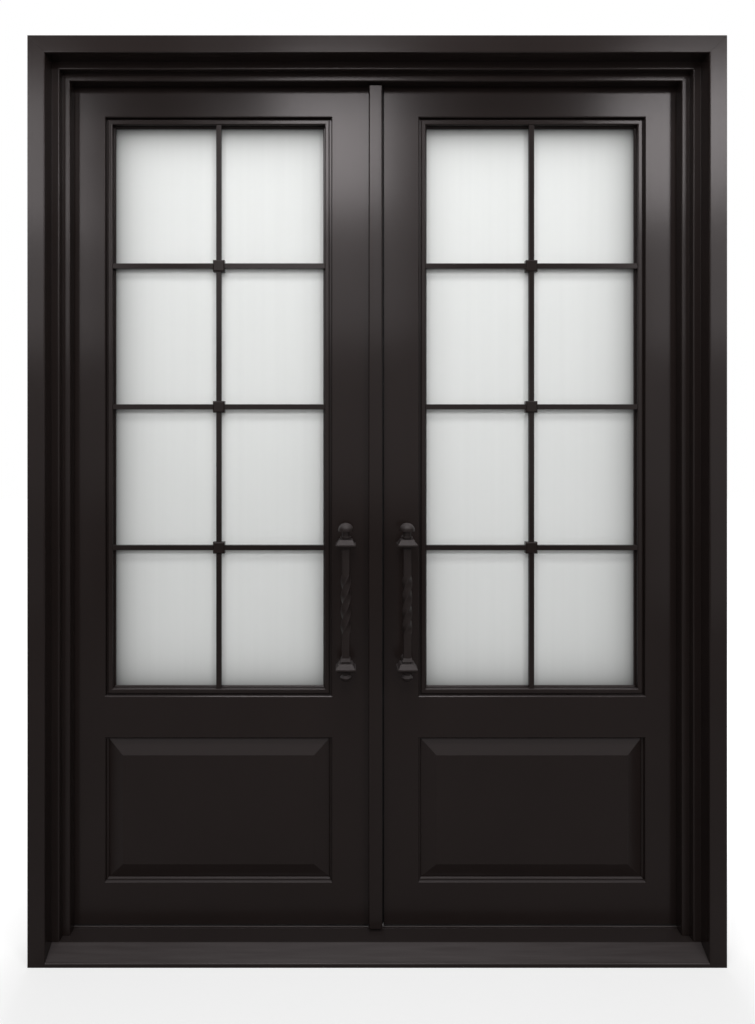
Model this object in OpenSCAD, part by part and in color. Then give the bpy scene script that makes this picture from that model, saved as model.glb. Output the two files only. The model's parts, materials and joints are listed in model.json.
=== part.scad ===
// Double entrance door of dark painted iron in its own steel frame.
// Each leaf has a tall glazed light with an iron grille over a raised panel.
// X runs along the width, the outside faces -Y, and the sill stands on Z = 0.

/* [Frame] */
// Overall width of the frame
frame_w = 1829; // [1600:1:2200]
// Overall height of the frame
frame_h = 2438; // [2200:1:2700]
// Depth of the jambs from outside to inside
jamb_depth = 152; // [145:1:200]
// Width of the flat outer face of the jambs and head
jamb_face = 45; // [35:0.5:60]
// Depth of the first step behind the outer face
step_one_depth = 45; // [35:0.5:50]
// Width of the first step
step_one_w = 20; // [14:0.5:26]
// Depth of the second step, the stop, behind the outer face
step_two_depth = 67; // [60:0.5:75]
// Width of the second step
step_two_w = 19.5; // [18:0.5:26]
// Gap between the back of the stop and the leaf, filled by the seal
stop_gap = 3.5; // [3:0.1:6]
// Overlap of the stop in front of the leaf pocket
stop_lap = 16; // [14:0.5:18]
// Radius of the rounded arrises of the steel sections
arris_r = 3; // [1:0.5:5]
// Radius of each wall anchor hole through the jambs
anchor_r = 5.5; // [3:0.5:8]
// Height of the lowest wall anchor hole
anchor_low = 260; // [200:1:320]
// Spacing of the wall anchor holes along each jamb
anchor_pitch = 620; // [560:1:640]

/* [Sill] */
// Height of the sill's front nose
nose_h = 12; // [8:0.5:28]
// Height of the sill under the leaves
sill_h = 35; // [32:0.5:50]
// Depth of the sloped front of the sill
slope_run = 45; // [30:0.5:60]
// Radius of the sill's rounded nose
nose_r = 5; // [2:0.5:6]
// Height of the lip in front of the leaves
lip_h = 5; // [3:0.5:8]
// Thickness of the lip
lip_t = 3.5; // [3:0.5:7]
// Chamfer along the front of the lip
lip_chamfer = 1; // [0.5:0.5:2.5]

/* [Leaves] */
// Thickness of each leaf
leaf_t = 50; // [46:0.5:54]
// Gap between a leaf's hinge edge and the jamb
edge_gap = 3; // [2.5:0.1:4]
// Gap between the leaves' top edges and the head
head_gap = 3; // [2:0.1:5]
// Gap between the leaves' bottom edges and the sill
sill_gap = 6; // [4:0.1:8]
// Gap between the two meeting edges
meeting_gap = 5.5; // [5.5:0.1:8]
// Width of the hinge stiles
hinge_stile_w = 97; // [85:0.5:120]
// Distance from the centre line to the glazed light
lock_stile_w = 121; // [116:0.5:140]
// Height of the top rails
top_rail_h = 94.5; // [70:0.5:120]
// Height of the middle rails
mid_rail_h = 116; // [100:0.5:140]
// Height of the bottom rails
bottom_rail_h = 118; // [80:0.5:140]
// Height of the raised panel's opening
panel_h = 397; // [300:0.5:500]
// Chamfer round the openings of a leaf
opening_chamfer = 2; // [1:0.5:3]

/* [Astragal] */
// Width of the astragal over the meeting edges
astragal_w = 37; // [30:0.5:44]
// How far the astragal stands proud of the leaf
astragal_proud = 22; // [14:0.5:24]
// Gap between the astragal's ends and the head and sill
astragal_gap = 4.5; // [3:0.5:12]
// Thickness of the soft seal on the meeting edge
meeting_seal_t = 3.2; // [1.5:0.1:3.4]
// Width of the soft seal on the meeting edge
meeting_seal_w = 8; // [5:0.5:10]

/* [Light moulding] */
// Width of the shadow groove round the moulding
groove_w = 6; // [4:0.5:8]
// Depth of the shadow groove
groove_d = 8; // [5:0.5:9]
// Width of the moulding's face
moulding_w = 13; // [12:0.5:18]
// Thickness of the moulding
moulding_t = 13; // [12:0.5:13]
// Setback of the moulding's face from the face of the leaf
moulding_setback = 3; // [0.5:0.5:3]

/* [Grille] */
// Width of the grille bars
bar_w = 14; // [10:0.5:18]
// Depth of the grille bars
bar_d = 11; // [8:0.5:12]
// Width of the square collars on the crossings
collar_w = 32; // [24:0.5:40]
// Depth of the square collars
collar_d = 18; // [14:0.5:20]
// Number of crossbars in each light
crossbar_count = 3; // [2:1:4]

/* [Sash] */
// Gap round the hinged glass sash
sash_gap = 3; // [2.5:0.1:4]
// Width of the sash frame
sash_w = 20; // [18:0.5:24]
// Depth of the sash frame
sash_t = 33; // [32:0.5:34]
// Thickness of the sash's outer lip in front of the glass
sash_lip = 6; // [4:0.5:7]
// Thickness of the sealed glass unit
glass_t = 20; // [16:0.5:20]
// Depth to which the glass edge sits in the sash
glass_bite = 10; // [8:0.5:12]

/* [Panel] */
// Width of the fine bead round the raised panel
bead_w = 6; // [5:0.5:10]
// Setback of the bead from the face of the leaf
bead_setback = 9; // [7:0.5:10]
// Width of the sloped border of the raised panel
bevel_w = 42; // [25:0.5:50]
// Depth of the sloped border
bevel_d = 13; // [12:0.5:14]
// Setback of the raised field from the face of the leaf
field_setback = 1; // [1:0.5:2]

/* [Hinges] */
// Radius of the leaf hinge barrels
barrel_r = 9; // [7:0.5:10]
// Radius of the leaf hinge pins
pin_r = 5; // [4:0.5:5.5]
// Length of each leaf hinge
hinge_len = 112; // [90:1:140]
// Width of the leaf hinge plates
plate_w = 42; // [32:0.5:44]
// Thickness of the leaf hinge plates
plate_t = 4; // [3:0.5:5]
// Distance of the outer leaf hinges from the ends of the leaf
hinge_inset = 230; // [180:1:320]
// Radius of the sash hinge barrels
sash_barrel_r = 5.5; // [5:0.1:6]
// Radius of the sash hinge pins
sash_pin_r = 3; // [2:0.1:3.5]
// Length of each sash hinge
sash_hinge_len = 70; // [50:1:90]
// Distance of the outer sash hinges from the ends of the light
sash_hinge_inset = 180; // [140:1:260]

/* [Pulls] */
// Distance of the pulls from the centre line
pull_x = 82; // [72:0.5:86]
// Height of the middle of the pulls
pull_z = 941.5; // [850:0.5:1050]
// Distance between the posts of a pull
pull_span = 329.5; // [300:0.5:400]
// Distance of the grip's axis from the face of the leaf
pull_stand = 60; // [50:0.5:75]
// Width of the square grip bar
grip_w = 20.5; // [16:0.5:24]
// Length of the twisted part of the grip
twist_len = 160; // [100:1:200]
// Greatest width of the square collars on the pulls
capital_w = 53; // [48:0.5:56]
// Height of the flared part of the square collars
capital_h = 16; // [14:0.5:24]
// Radius of the domed finials
finial_r = 20; // [14:0.5:22]
// Radius of the round roses against the leaf
rose_r = 13; // [11:0.5:18]
// Radius of the studs that tie the outer and inner pulls together
stud_r = 5; // [4:0.5:6]

/* [Bolts] */
// Radius of the sliding bolts in the first leaf
bolt_r = 6; // [4:0.5:7]
// Travel of the sliding bolts
bolt_travel = 20; // [15:1:22]
// Length of the sliding bolts
bolt_len = 240; // [200:1:300]

/* [Hidden] */
// Extra length that lets a cut pass right through a face
overrun = 1;
// Clearance between round pieces that turn or slide in each other
running = 0.05;
// Clearance between solids that pass each other
clear = 0.3;
// Number of wall anchor holes in each jamb
anchor_count = 4;
// Number of straight steps in a rounded arris
arris_steps = 4;
$fn = 48;

// Colours of the finishes
iron = "#2b2726";
steel = "#77787a";
rubber = "#141414";
glazing = "#dfe4e3";

// Places in the frame, measured from its middle and from the floor
half_w = frame_w / 2;
front_y = -jamb_depth / 2;
back_y = jamb_depth / 2;
step_one_edge = jamb_face + step_one_w;
stop_edge = step_one_edge + step_two_w;
pocket_edge = stop_edge - stop_lap;
leaf_y = back_y - leaf_t;
leaf_depth = jamb_depth - leaf_t;
stop_back = leaf_depth - stop_gap;
mitre_reach = stop_edge + overrun;

// Places on the leaves, for the leaf on the -X side
hinge_edge = -half_w + pocket_edge + edge_gap;
leaf_low = sill_h + sill_gap;
leaf_top = frame_h - pocket_edge - head_gap;
first_edge = astragal_w / 2;
second_edge = -first_edge - meeting_gap;
open_left = hinge_edge + hinge_stile_w;
open_right = -lock_stile_w;
panel_low = leaf_low + bottom_rail_h;
panel_top = panel_low + panel_h;
lite_low = panel_top + mid_rail_h;
lite_top = leaf_top - top_rail_h;
lite_mid_x = (open_left + open_right) / 2;

// Chamfer on the panel bead
bead_chamfer = 3;

// Depths inside a leaf
moulding_y = leaf_y + moulding_setback;
moulding_back = moulding_y + moulding_t;
moulding_edge = groove_w + moulding_w;
bar_y = moulding_back - bar_d;
collar_y = moulding_back - collar_d + (collar_d - bar_d) / 2;
sash_y = back_y - sash_t;
sash_edge = sash_gap + sash_w;
glass_y = sash_y + sash_lip;
glass_back = glass_y + glass_t;
glass_edge = sash_edge - glass_bite;
leaf_mid_y = leaf_y + leaf_t / 2;

// Share of a hinge's length from its middle to the end of the moving knuckle
knuckle_share = 0.17;

// Places of the hinges
barrel_y = back_y + barrel_r + clear;
barrel_x = hinge_edge - edge_gap / 2;
hinge_places = [
    leaf_low + hinge_inset,
    (leaf_low + leaf_top) / 2,
    leaf_top - hinge_inset
];
sash_barrel_y = back_y + sash_barrel_r + clear;
sash_barrel_x = open_left + sash_gap / 2;
sash_plate_w = sash_w - sash_gap;
sash_plate_t = plate_t / 2;
sash_hinge_places = [
    lite_low + sash_hinge_inset,
    (lite_low + lite_top) / 2,
    lite_top - sash_hinge_inset
];

// Turn buttons that hold the sash shut
button_shares = [0.4, 0.85];
button_w = 14;
button_t = 5;
button_reach = 34;
button_stud_r = 4;
button_stud_len = 15;
button_x = open_right + button_w;
button_heights = [for (share = button_shares) lite_low + share * (lite_top - lite_low)];

// Sliding bolts in the meeting edge of the first leaf
bolt_y = leaf_mid_y;
bolt_plate_t = 2.5;
bolt_wall = 1.5;
bolt_x = first_edge - bolt_r - bolt_wall - bolt_plate_t;
bolt_plate_w = 22;
bolt_knob = 8;
bolt_sink = 1.5;
bolt_pocket_len = bolt_travel * 3;
bolt_pocket_room = 2;
bolt_pocket_r = bolt_r + bolt_pocket_room;
strike_room = 0.5;
strike_r = bolt_r + strike_room;

// Soft seals
seal_inset = 4;
seal_edge = stop_edge - seal_inset;
seal_w = 8;
seal_shoulder = 2;
sweep_t = sill_gap - clear;
sweep_inset = 4;

// Sizes along a pull, whose posts stand above and below the middle of its grip
post_at = pull_span / 2;
post_r = 9;
rose_t = 4;
stud_sink = 20;
capital_lip_h = 4;
capital_lip = 2;
capital_neck_w = 36;
capital_foot_h = 4.5;
capital_foot_w = 42;
tier_w = 29;
tier_h = 9;
tier_gap = 5;
ring_gap = 4;
ring_h = 4;
ring_r = 14.5;
neck_r = 10.5;
neck_h = 14;
dome_h = 22;
dome_rim = 5;
drop_ring_gap = 4;
drop_ring_r = 14.5;
drop_ring_h = 3;
drop_neck_r = 9.5;
drop_neck_h = 5;
drop_r = 15.5;
drop_h = 18;
drop_shoulder = 6;
grip_low = -post_at + capital_h / 2 + tier_gap + tier_h;
grip_high = post_at - capital_h / 2 - capital_foot_h;
grip_chamfer = 2.5;
grip_turns = 1;
grip_slices = 36;
grip_edges = 8;

// Moves a piece of the -X leaf to the +X leaf
module right_side() {
    mirror([1, 0, 0]) children();
}

// Box between its lowest and highest corners
module block(low, high) {
    translate(low) cube(high - low);
}

// Outline of [x, z] points, extruded through the depth
module face_prism(points, from_y, to_y) {
    translate([0, to_y, 0]) rotate([90, 0, 0]) linear_extrude(to_y - from_y) polygon(points);
}

// Outline of [y, z] points, extruded along the width
module width_prism(points, from_x, to_x) {
    translate([from_x, 0, 0]) rotate([90, 0, 90]) linear_extrude(to_x - from_x) polygon(points);
}

// Outline of [x, y] points, extruded upwards
module height_prism(points, from_z, to_z) {
    translate([0, 0, from_z]) linear_extrude(to_z - from_z) polygon(points);
}

// Block with four sloped sides between two depths, with its own inset at each depth
module sloped_block(x, z, y_a, inset_a, y_b, inset_b) {
    least = min(inset_a, inset_b);
    plan = [
        [x[0] + inset_a, y_a], [x[1] - inset_a, y_a],
        [x[1] - inset_b, y_b], [x[0] + inset_b, y_b]
    ];
    side = [
        [y_a, z[0] + inset_a], [y_a, z[1] - inset_a],
        [y_b, z[1] - inset_b], [y_b, z[0] + inset_b]
    ];
    intersection() {
        height_prism(plan, z[0] + least, z[1] - least);
        width_prism(side, x[0] + least, x[1] - least);
    }
}

// Square block on the Z axis that tapers from one width to another
module square_taper(low, low_w, high, high_w) {
    widest = max(low_w, high_w) / 2;
    side = [
        [-low_w / 2, low], [low_w / 2, low],
        [high_w / 2, high], [-high_w / 2, high]
    ];
    intersection() {
        face_prism(side, -widest, widest);
        width_prism(side, -widest, widest);
    }
}

// Frame of four mitred lengths; section points are [inset, y]
module mitred_frame(x, z, section) {
    reach = max([for (p = section) p[0]]) + overrun;
    near = min([for (p = section) p[1]]) - overrun;
    far = max([for (p = section) p[1]]) + overrun;
    intersection() {
        width_prism([for (p = section) [p[1], z[0] + p[0]]], x[0], x[1]);
        face_prism([[x[0], z[0]], [x[1], z[0]], [x[1] - reach, z[0] + reach],
            [x[0] + reach, z[0] + reach]], near, far);
    }
    intersection() {
        width_prism([for (p = section) [p[1], z[1] - p[0]]], x[0], x[1]);
        face_prism([[x[0], z[1]], [x[1], z[1]], [x[1] - reach, z[1] - reach],
            [x[0] + reach, z[1] - reach]], near, far);
    }
    intersection() {
        height_prism([for (p = section) [x[0] + p[0], p[1]]], z[0], z[1]);
        face_prism([[x[0], z[0]], [x[0], z[1]], [x[0] + reach, z[1] - reach],
            [x[0] + reach, z[0] + reach]], near, far);
    }
    intersection() {
        height_prism([for (p = section) [x[1] - p[0], p[1]]], z[0], z[1]);
        face_prism([[x[1], z[0]], [x[1], z[1]], [x[1] - reach, z[1] - reach],
            [x[1] - reach, z[0] + reach]], near, far);
    }
}

// Rounded outer corner of a section at [inset, depth]
function arris(inset, depth) = [
    for (i = [0 : arris_steps])
        let (turn = 90 * i / arris_steps - 90)
        [inset - arris_r + arris_r * cos(turn), depth + arris_r + arris_r * sin(turn)]
];

// Stepped section of jambs and head, as [inset, depth] points from the outer front corner
jamb_section = concat(
    [[0, 0]],
    arris(jamb_face, 0),
    [[jamb_face, step_one_depth]],
    arris(step_one_edge, step_one_depth),
    [[step_one_edge, step_two_depth]],
    arris(stop_edge, step_two_depth),
    [[stop_edge, stop_back], [pocket_edge, stop_back], [pocket_edge, jamb_depth], [0, jamb_depth]]
);

// Full length of the jamb section on the -X side
module jamb_length(top) {
    translate([-half_w, front_y, 0]) linear_extrude(top) polygon(jamb_section);
}

// Side jamb, mitred under the head and drilled for its wall anchors
module jamb() {
    outline = [
        [-half_w, 0], [-half_w, frame_h],
        [-half_w + mitre_reach, frame_h - mitre_reach], [-half_w + mitre_reach, 0]
    ];
    color(iron) difference() {
        intersection() {
            jamb_length(frame_h);
            face_prism(outline, front_y - overrun, back_y + overrun);
        }
        for (i = [0 : anchor_count - 1])
            translate([-half_w - overrun, leaf_mid_y, anchor_low + i * anchor_pitch])
                rotate([0, 90, 0]) cylinder(r = anchor_r, h = pocket_edge + 2 * overrun);
    }
}

module left_jamb() { jamb(); }
module right_jamb() { right_side() jamb(); }

// Head of the frame, mitred to both jambs, with the socket for the top bolt
module head_jamb() {
    section = [for (p = jamb_section) [front_y + p[1], frame_h - p[0]]];
    outline = [
        [-half_w, frame_h], [half_w, frame_h],
        [half_w - mitre_reach, frame_h - mitre_reach], [-half_w + mitre_reach, frame_h - mitre_reach]
    ];
    socket = bolt_travel + bolt_sink + overrun;
    color(iron) difference() {
        intersection() {
            width_prism(section, -half_w, half_w);
            face_prism(outline, front_y - overrun, back_y + overrun);
        }
        translate([bolt_x, bolt_y, leaf_top]) cylinder(r = strike_r, h = head_gap + socket);
    }
}

// Sill with a sloped front and a low lip before the leaves, fitted between the stepped jambs
module threshold() {
    nose = [
        for (i = [0 : arris_steps])
            let (turn = 180 - 90 * i / arris_steps)
            [front_y + nose_r + nose_r * cos(turn), nose_h - nose_r + nose_r * sin(turn)]
    ];
    lip_back = front_y + stop_back;
    lip_front = lip_back - lip_t;
    lip_top = sill_h + lip_h;
    lip = [
        [lip_front, sill_h], [lip_front, lip_top - lip_chamfer], [lip_front + lip_chamfer, lip_top],
        [lip_back, lip_top], [lip_back, sill_h]
    ];
    section = concat(
        [[front_y, 0]], nose,
        [[front_y + slope_run, sill_h]], lip,
        [[back_y, sill_h], [back_y, 0]]
    );
    socket = bolt_travel + bolt_sink + overrun;
    color(iron) difference() {
        width_prism(section, -half_w + jamb_face - overrun, half_w - jamb_face + overrun);
        jamb_length(frame_h);
        right_side() jamb_length(frame_h);
        translate([bolt_x, bolt_y, sill_h - socket]) cylinder(r = strike_r, h = socket + overrun);
    }
}

// Section of a stop seal as [along, height] points: a flat foot with a raised middle
seal_rise = stop_gap - clear;
seal_section = [
    [0, 0], [seal_w, 0], [seal_w, seal_rise / 2], [seal_w - seal_shoulder, seal_rise],
    [seal_shoulder, seal_rise], [0, seal_rise / 2]
];

// Seal on the back of a side stop
module side_seal() {
    seal_x = -half_w + seal_edge - seal_w;
    seat = front_y + stop_back;
    outline = [for (p = seal_section) [seal_x + p[0], seat + p[1]]];
    color(rubber) height_prism(outline, sill_h, frame_h - seal_edge);
}

module left_jamb_seal() { side_seal(); }
module right_jamb_seal() { right_side() side_seal(); }

// Seal on the back of the head stop
module head_seal() {
    reach = half_w - seal_edge + seal_w;
    seat = front_y + stop_back;
    low = frame_h - seal_edge;
    color(rubber) width_prism([for (p = seal_section) [seat + p[1], low + p[0]]], -reach, reach);
}

// Plate with barrels on a hinge axis at the origin; side is -1 for the plate on the -X side.
// Rows are the [low, high] stretches of the barrel that belong to this plate.
module hinge_half(side, rows, length, radius, bore, width, thick) {
    seat = -radius - clear;
    shy = radius + 2 * clear + thick / 2;
    plate_x = side < 0 ? [-width, -shy] : [shy, width];
    tab_x = side < 0 ? [-shy - overrun, 0] : [0, shy + overrun];
    difference() {
        union() {
            block([plate_x[0], seat, -length / 2], [plate_x[1], seat + thick, length / 2]);
            for (row = rows) {
                translate([0, 0, row[0]]) cylinder(r = radius, h = row[1] - row[0]);
                block([tab_x[0], seat, row[0]], [tab_x[1], seat + thick, row[1]]);
            }
        }
        translate([0, 0, -length / 2 - overrun]) cylinder(r = bore, h = length + 2 * overrun);
    }
}

// Stretches of a hinge barrel: two for the fixed half and one between them for the moving half
function fixed_rows(length) = [
    [-length / 2, -knuckle_share * length],
    [knuckle_share * length, length / 2]
];
function moving_rows(length) = [[clear - knuckle_share * length, knuckle_share * length - clear]];

// Jamb halves of the three hinges of one leaf
module jamb_plates() {
    for (z = hinge_places)
        translate([barrel_x, barrel_y, z])
            hinge_half(-1, fixed_rows(hinge_len), hinge_len, barrel_r, pin_r + running, plate_w, plate_t);
}

module hinge_jamb_plates() {
    color(iron) {
        jamb_plates();
        right_side() jamb_plates();
    }
}

// Hinge pin with a domed cap at each end
module capped_pin(radius, length, cap_r) {
    translate([0, 0, -length / 2 - clear]) cylinder(r = radius, h = length + 2 * clear);
    for (end = [0, 1])
        mirror([0, 0, end]) translate([0, 0, length / 2 + clear]) intersection() {
            sphere(r = cap_r);
            cylinder(r = cap_r, h = cap_r);
        }
}

module hinge_pins() {
    color(steel) {
        for (z = hinge_places, side = [-1, 1])
            translate([side * -barrel_x, barrel_y, z]) capped_pin(pin_r, hinge_len, barrel_r);
    }
}

// Leaf halves of the three hinges of one leaf
module leaf_plates() {
    color(iron) for (z = hinge_places)
        translate([barrel_x, barrel_y, z])
            hinge_half(1, moving_rows(hinge_len), hinge_len, barrel_r, pin_r + running, plate_w, plate_t);
}

module left_hinge_leaf_plates() { leaf_plates(); }
module right_hinge_leaf_plates() { right_side() leaf_plates(); }

// Opening right through a leaf, with a chamfer on its outer edge
module leaf_opening(z) {
    block([open_left, leaf_y - overrun, z[0]], [open_right, back_y + overrun, z[1]]);
    sloped_block([open_left, open_right], z,
        leaf_y - overrun, -opening_chamfer - overrun, leaf_y + opening_chamfer, 0);
}

// Heights of the two posts of a pull
post_heights = [pull_z - post_at, pull_z + post_at];

// Welded frame of stiles and rails of one leaf, ending at a meeting edge
module leaf_frame(meeting_edge) {
    difference() {
        block([hinge_edge, leaf_y, leaf_low], [meeting_edge, back_y, leaf_top]);
        leaf_opening([lite_low, lite_top]);
        leaf_opening([panel_low, panel_top]);
        for (z = post_heights)
            translate([-pull_x, leaf_y - overrun, z])
                rotate([-90, 0, 0]) cylinder(r = stud_r + running, h = leaf_t + 2 * overrun);
        for (z = button_heights)
            translate([button_x, back_y + overrun, z])
                rotate([90, 0, 0]) cylinder(r = button_stud_r + running, h = button_stud_len + 2 * overrun);
    }
}

// Space for one sliding bolt, from the leaf's end at the origin down into the stile
module bolt_space() {
    low = -bolt_len - bolt_travel;
    edge = first_edge - bolt_x;
    translate([0, 0, low + bolt_pocket_len - overrun])
        cylinder(r = bolt_r + running, h = bolt_len + bolt_travel - bolt_pocket_len + 2 * overrun);
    block([-bolt_pocket_r, -bolt_pocket_r, low], [edge + overrun, bolt_pocket_r, low + bolt_pocket_len]);
    block([edge - bolt_plate_t, -bolt_plate_w / 2, low - bolt_travel],
        [edge + overrun, bolt_plate_w / 2, low + bolt_pocket_len + bolt_travel]);
}

// Puts a bolt piece at the top and, mirrored, at the bottom of the first leaf
module at_leaf_top() { translate([bolt_x, bolt_y, leaf_top]) children(); }
module at_leaf_bottom() { translate([bolt_x, bolt_y, leaf_low]) mirror([0, 0, 1]) children(); }

module left_leaf_frame() {
    color(iron) difference() {
        leaf_frame(first_edge);
        at_leaf_top() bolt_space();
        at_leaf_bottom() bolt_space();
    }
}

module right_leaf_frame() {
    color(iron) right_side() leaf_frame(second_edge);
}

// Moulding with a shadow groove round it, seated in the glazed light
module light_moulding() {
    section = concat(
        [[0, moulding_y + groove_d], [groove_w, moulding_y + groove_d],
            [groove_w, moulding_y + opening_chamfer], [groove_w + opening_chamfer, moulding_y]],
        [for (i = [0 : arris_steps])
            let (turn = 90 * i / arris_steps - 90)
            [moulding_edge - arris_r + arris_r * cos(turn), moulding_y + arris_r + arris_r * sin(turn)]],
        [[moulding_edge, moulding_back], [0, moulding_back]]
    );
    color(iron) mitred_frame([open_left, open_right], [lite_low, lite_top], section);
}

module left_light_moulding() { light_moulding(); }
module right_light_moulding() { right_side() light_moulding(); }

// Heights of the crossbars, equally spaced in the light
crossbar_heights = [
    for (i = [1 : crossbar_count])
        lite_low + moulding_edge + i * (lite_top - lite_low - 2 * moulding_edge) / (crossbar_count + 1)
];

// Upright of the grille, one length from sill to head of the light
module grille_upright() {
    color(iron) block(
        [lite_mid_x - bar_w / 2, bar_y, lite_low + moulding_edge],
        [lite_mid_x + bar_w / 2, moulding_back, lite_top - moulding_edge]
    );
}

module left_grille_upright() { grille_upright(); }
module right_grille_upright() { right_side() grille_upright(); }

// Crossbars of the grille, each in two lengths welded to the upright
module grille_crossbars() {
    color(iron) for (z = crossbar_heights) {
        block([open_left + moulding_edge, bar_y, z - bar_w / 2],
            [lite_mid_x - bar_w / 2, moulding_back, z + bar_w / 2]);
        block([lite_mid_x + bar_w / 2, bar_y, z - bar_w / 2],
            [open_right - moulding_edge, moulding_back, z + bar_w / 2]);
    }
}

module left_grille_crossbars() { grille_crossbars(); }
module right_grille_crossbars() { right_side() grille_crossbars(); }

// Square collars that close over the crossings, with sloped front edges
module grille_collars() {
    half = collar_w / 2;
    x = [lite_mid_x - half, lite_mid_x + half];
    color(iron) for (z = crossbar_heights) difference() {
        union() {
            block([x[0], collar_y + arris_r, z - half], [x[1], collar_y + collar_d, z + half]);
            sloped_block(x, [z - half, z + half], collar_y, arris_r, collar_y + arris_r, 0);
        }
        block([lite_mid_x - bar_w / 2, bar_y, z - half - overrun],
            [lite_mid_x + bar_w / 2, moulding_back, z + half + overrun]);
        block([x[0] - overrun, bar_y, z - bar_w / 2],
            [x[1] + overrun, moulding_back, z + bar_w / 2]);
    }
}

module left_grille_collars() { grille_collars(); }
module right_grille_collars() { right_side() grille_collars(); }

// Raised panel whose back lies on the middle of the leaf, with its field towards the outside
module raised_panel() {
    border_y = leaf_y + field_setback + bevel_d;
    inset = bead_w + bevel_w;
    block([open_left, border_y, panel_low], [open_right, leaf_mid_y, panel_top]);
    sloped_block([open_left, open_right], [panel_low, panel_top],
        border_y, bead_w, leaf_y + field_setback, inset);
    block([open_left + inset, border_y - bevel_d / 2, panel_low + inset],
        [open_right - inset, (border_y + leaf_mid_y) / 2, panel_top - inset]);
}

module outer_panel() { color(iron) raised_panel(); }
module left_outer_panel() { outer_panel(); }
module right_outer_panel() { right_side() outer_panel(); }

// Raised panel of the inside face, the outer one turned about the middle of the leaf
module inner_panel() {
    color(iron) translate([0, 2 * leaf_mid_y, 0]) mirror([0, 1, 0]) raised_panel();
}

module left_inner_panel() { inner_panel(); }
module right_inner_panel() { right_side() inner_panel(); }

// Fine bead in the corner between the opening and the border of the outer raised panel
module panel_bead() {
    near = leaf_y + bead_setback;
    border_y = leaf_y + field_setback + bevel_d;
    edge = bead_chamfer;
    section = [[0, near], [bead_w - edge, near], [bead_w, near + edge], [bead_w, border_y], [0, border_y]];
    color(iron) mitred_frame([open_left, open_right], [panel_low, panel_top], section);
}

module left_panel_bead() { panel_bead(); }
module right_panel_bead() { right_side() panel_bead(); }

// Soft sweep that closes the gap under a leaf
module bottom_sweep(meeting_edge) {
    low = leaf_low - sweep_t;
    block([hinge_edge, leaf_y + sweep_inset, low], [meeting_edge, back_y - sweep_inset, leaf_low]);
}

module left_bottom_sweep() {
    color(rubber) difference() {
        bottom_sweep(first_edge);
        translate([bolt_x, bolt_y, leaf_low - sweep_t - overrun])
            cylinder(r = strike_r, h = sweep_t + 2 * overrun);
    }
}

module right_bottom_sweep() {
    color(rubber) right_side() bottom_sweep(second_edge);
}

// Square bar with chamfered edges
module grip_section() {
    half = grip_w / 2;
    cut = half - grip_chamfer;
    polygon([
        [half, -cut], [half, cut], [cut, half], [-cut, half],
        [-half, cut], [-half, -cut], [-cut, -half], [cut, -half]
    ]);
}

// Grip of a pull, twisted in its middle, between its two ends
module grip() {
    half = twist_len / 2;
    translate([0, 0, grip_low]) linear_extrude(-half - grip_low) grip_section();
    translate([0, 0, half]) linear_extrude(grip_high - half) grip_section();
    translate([0, 0, -half])
        linear_extrude(twist_len, twist = -360 * grip_turns, slices = grip_slices, segments = grip_edges)
            grip_section();
}

// Dome turned about the Z axis, with an upright rim below its curve
module dome(radius, rim, height) {
    curve = [
        for (i = [0 : arris_steps * 2])
            let (turn = 90 * i / (arris_steps * 2))
            [radius * cos(turn), rim + (height - rim) * sin(turn)]
    ];
    rotate_extrude() polygon(concat([[0, 0], [radius, 0]], curve));
}

// Drop turned about the Z axis below its top: a sloped shoulder over a round end
module drop() {
    curve = [
        for (i = [0 : arris_steps * 2])
            let (turn = 90 * i / (arris_steps * 2))
            [drop_r * cos(turn), -drop_shoulder - (drop_h - drop_shoulder) * sin(turn)]
    ];
    rotate_extrude() polygon(concat([[0, 0], [drop_neck_r, 0]], curve));
}

// Square collar of a pull on its post: a flare over a lip, and the post and rose behind it
module capital() {
    low = -capital_h / 2;
    lip_top = low + capital_lip_h;
    square_taper(low - capital_foot_h, capital_foot_w, low, capital_w - capital_lip);
    square_taper(low, capital_w, lip_top, capital_w);
    square_taper(lip_top, capital_w - 2 * capital_lip, capital_h / 2, capital_neck_w);
    rotate([-90, 0, 0]) cylinder(r = post_r, h = pull_stand);
    translate([0, pull_stand - rose_t, 0]) rotate([-90, 0, 0])
        cylinder(r1 = rose_r - rose_t / 2, r2 = rose_r, h = rose_t);
}

// Bore in a post for the stud through the leaf
module stud_bore() {
    translate([0, pull_stand - stud_sink, 0]) rotate([-90, 0, 0])
        cylinder(r = stud_r + running, h = stud_sink + overrun);
}

// Upper end of a pull: square collar, ring, neck and domed finial
module upper_end() {
    top = capital_h / 2;
    dome_at = top + ring_gap + ring_h + neck_h;
    difference() {
        union() {
            capital();
            translate([0, 0, top]) cylinder(r = neck_r, h = dome_at - top);
            translate([0, 0, top + ring_gap]) cylinder(r = ring_r, h = ring_h);
            translate([0, 0, dome_at]) dome(finial_r, dome_rim, dome_h);
        }
        stud_bore();
    }
}

// Lower end of a pull: square tier over the collar, and a small drop below it
module lower_end() {
    top = capital_h / 2;
    ring_top = -top - capital_foot_h - drop_ring_gap;
    drop_top = ring_top - drop_ring_h - drop_neck_h;
    difference() {
        union() {
            capital();
            square_taper(top, grip_w, top + tier_gap, grip_w);
            square_taper(top + tier_gap, tier_w, top + tier_gap + tier_h, tier_w - 3 * capital_lip);
            translate([0, 0, drop_top]) cylinder(r = drop_neck_r, h = -top - drop_top);
            translate([0, 0, ring_top - drop_ring_h]) cylinder(r = drop_ring_r, h = drop_ring_h);
            translate([0, 0, drop_top]) drop();
        }
        stud_bore();
    }
}

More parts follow.
